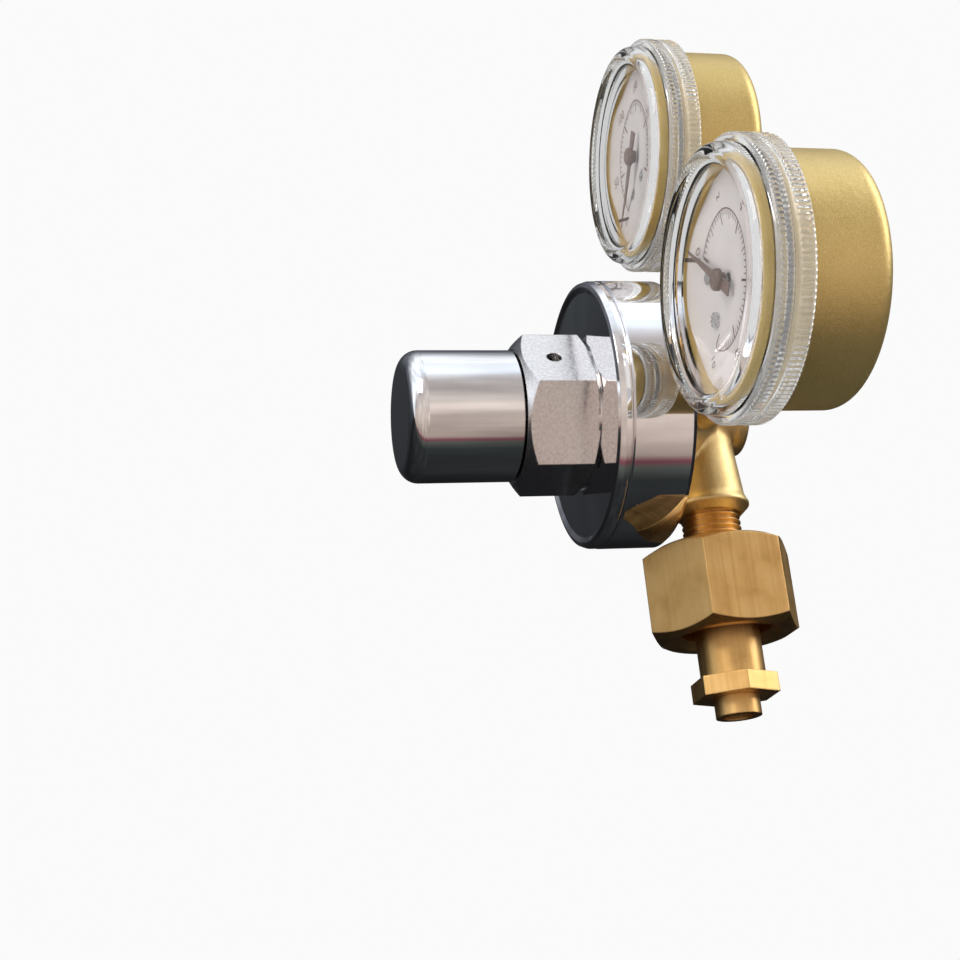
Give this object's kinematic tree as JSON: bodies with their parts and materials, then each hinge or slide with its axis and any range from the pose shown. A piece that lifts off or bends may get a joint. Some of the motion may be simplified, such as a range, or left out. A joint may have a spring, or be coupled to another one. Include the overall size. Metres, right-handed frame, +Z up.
{
  "type": "two-gauge carbon dioxide pressure regulator",
  "caption": "Gas pressure regulator with a chromed bonnet and knob, a brass body, two round dial gauges on the body and a hexagon inlet nut",
  "frame": {"origin": "centre of the inlet nipple's nose, where the gas comes in", "axes": "+Z up the inlet axis to the body; the body, bonnet and dials lie along Y with the knob and dials facing -Y; the outlet gauge stands out along +X"},
  "size_m": [0.1484, 0.0877, 0.1659],
  "materials": {
    "chrome": "polished",
    "forged_brass": "sandblasted",
    "turned_brass": "machined",
    "gold_paint": "satin metallic",
    "clear_plastic": "clear moulded",
    "dial_white": "satin",
    "dark_brown": "satin",
    "steel": "plain",
    "spring_steel": "drawn wire",
    "black_rubber": "moulded",
    "bronze": "drawn",
    "seat_plastic": "moulded"
  },
  "bodies": {
    "body": {"body_drum": "chrome", "bonnet": "chrome", "diaphragm": "black_rubber", "high_blowout_plug": "black_rubber", "high_bourdon_tube": "bronze", "high_case": "gold_paint", "high_dial": "dial_white", "high_dial_screws": "steel", "high_lens": "clear_plastic", "high_lens_seal": "black_rubber", "high_movement": "turned_brass", "high_socket": "turned_brass", "high_stop_pin": "dark_brown", "inlet_filter": "bronze", "inlet_nipple": "turned_brass", "low_blowout_plug": "black_rubber", "low_bourdon_tube": "bronze", "low_case": "gold_paint", "low_dial": "dial_white", "low_dial_screws": "steel", "low_lens": "clear_plastic", "low_lens_seal": "black_rubber", "low_movement": "turned_brass", "low_socket": "turned_brass", "low_stop_pin": "dark_brown", "outlet_fitting": "turned_brass", "poppet_spring": "spring_steel", "rear_forging": "forged_brass", "rear_plug": "turned_brass", "slip_ring": "steel", "valve_seat": "turned_brass"},
    "adjusting_screw": {"knob": "chrome", "spindle": "steel", "spindle_clip": "spring_steel"},
    "spring_carrier": {"spring_carrier": "steel", "range_spring": "spring_steel"},
    "diaphragm_plate": {"diaphragm_plate": "turned_brass", "lift_pin": "turned_brass"},
    "poppet": {"poppet": "seat_plastic"},
    "inlet_nut": {"inlet_nut": "turned_brass"},
    "high_pointer": {"high_pointer": "dark_brown", "high_hub_cap": "dark_brown", "high_pinion": "steel", "high_hairspring": "spring_steel"},
    "high_sector": {"high_sector_gear": "turned_brass"},
    "high_link": {"high_link": "turned_brass"},
    "high_tube_tip": {"high_tube_tip": "turned_brass"},
    "low_pointer": {"low_pointer": "dark_brown", "low_hub_cap": "dark_brown", "low_pinion": "steel", "low_hairspring": "spring_steel"},
    "low_sector": {"low_sector_gear": "turned_brass"},
    "low_link": {"low_link": "turned_brass"},
    "low_tube_tip": {"low_tube_tip": "turned_brass"}
  },
  "joints": [
    {"name": "knob_turn", "type": "hinge", "parent": "body", "child": "adjusting_screw", "pos_m": [0, -0.055, 0.0705], "axis": [0, 1, 0], "range_deg": [0, 1296]},
    {"name": "carrier_slide", "type": "slide", "parent": "body", "child": "spring_carrier", "axis": [0, 1, 0], "range_m": [0, 0.0045], "deforming": ["range_spring"]},
    {"name": "diaphragm_lift", "type": "slide", "parent": "body", "child": "diaphragm_plate", "axis": [0, 1, 0], "range_m": [0, 0.0008], "deforming": ["diaphragm"]},
    {"name": "poppet_lift", "type": "slide", "parent": "body", "child": "poppet", "axis": [0, 1, 0], "range_m": [0, 0.0008], "deforming": ["poppet_spring"]},
    {"name": "nut_spin", "type": "hinge", "parent": "body", "child": "inlet_nut", "pos_m": [0, 0, 0.0277], "axis": [0, 0, 1], "continuous": true},
    {"name": "high_pointer_turn", "type": "hinge", "parent": "body", "child": "high_pointer", "pos_m": [0, 0, 0.1382], "axis": [0, 1, 0], "range_deg": [0, 270.02], "deforming": ["high_hairspring"]},
    {"name": "high_sector_turn", "type": "hinge", "parent": "body", "child": "high_sector", "pos_m": [0, 0, 0.1277], "axis": [0, 1, 0], "range_deg": [-45.01, 0]},
    {"name": "high_link_pivot", "type": "hinge", "parent": "high_sector", "child": "high_link", "pos_m": [0.00057, 0, 0.12273], "axis": [0, 1, 0], "range_deg": [0, 45.01]},
    {"name": "high_tip_shift", "type": "slide", "parent": "body", "child": "high_tube_tip", "axis": [0.8746, 0, 0.4848], "range_m": [0, 0.00383], "deforming": ["high_bourdon_tube"]},
    {"name": "low_pointer_turn", "type": "hinge", "parent": "body", "child": "low_pointer", "pos_m": [0.0677, -0.0117, 0.0705], "axis": [0, 1, 0], "range_deg": [0, 270.02], "deforming": ["low_hairspring"]},
    {"name": "low_sector_turn", "type": "hinge", "parent": "body", "child": "low_sector", "pos_m": [0.0572, -0.0117, 0.0705], "axis": [0, 1, 0], "range_deg": [-45.01, 0]},
    {"name": "low_link_pivot", "type": "hinge", "parent": "low_sector", "child": "low_link", "pos_m": [0.05223, -0.0117, 0.06993], "axis": [0, 1, 0], "range_deg": [0, 45.01]},
    {"name": "low_tip_shift", "type": "slide", "parent": "body", "child": "low_tube_tip", "axis": [0.4848, 0, -0.8746], "range_m": [0, 0.00383], "deforming": ["low_bourdon_tube"]}
  ],
  "couplings": [
    {"joint": "carrier_slide", "follows": "knob_turn", "m_per_rad": 0.00019894},
    {"joint": "poppet_lift", "follows": "diaphragm_lift", "ratio": 1},
    {"joint": "high_pointer_turn", "follows": "high_tip_shift", "rad_per_m": 1231.4},
    {"joint": "high_sector_turn", "follows": "high_tip_shift", "rad_per_m": -205.23},
    {"joint": "high_link_pivot", "follows": "high_tip_shift", "rad_per_m": 205.23},
    {"joint": "low_pointer_turn", "follows": "low_tip_shift", "rad_per_m": 1231.4},
    {"joint": "low_sector_turn", "follows": "low_tip_shift", "rad_per_m": -205.23},
    {"joint": "low_link_pivot", "follows": "low_tip_shift", "rad_per_m": 205.23}
  ]
}
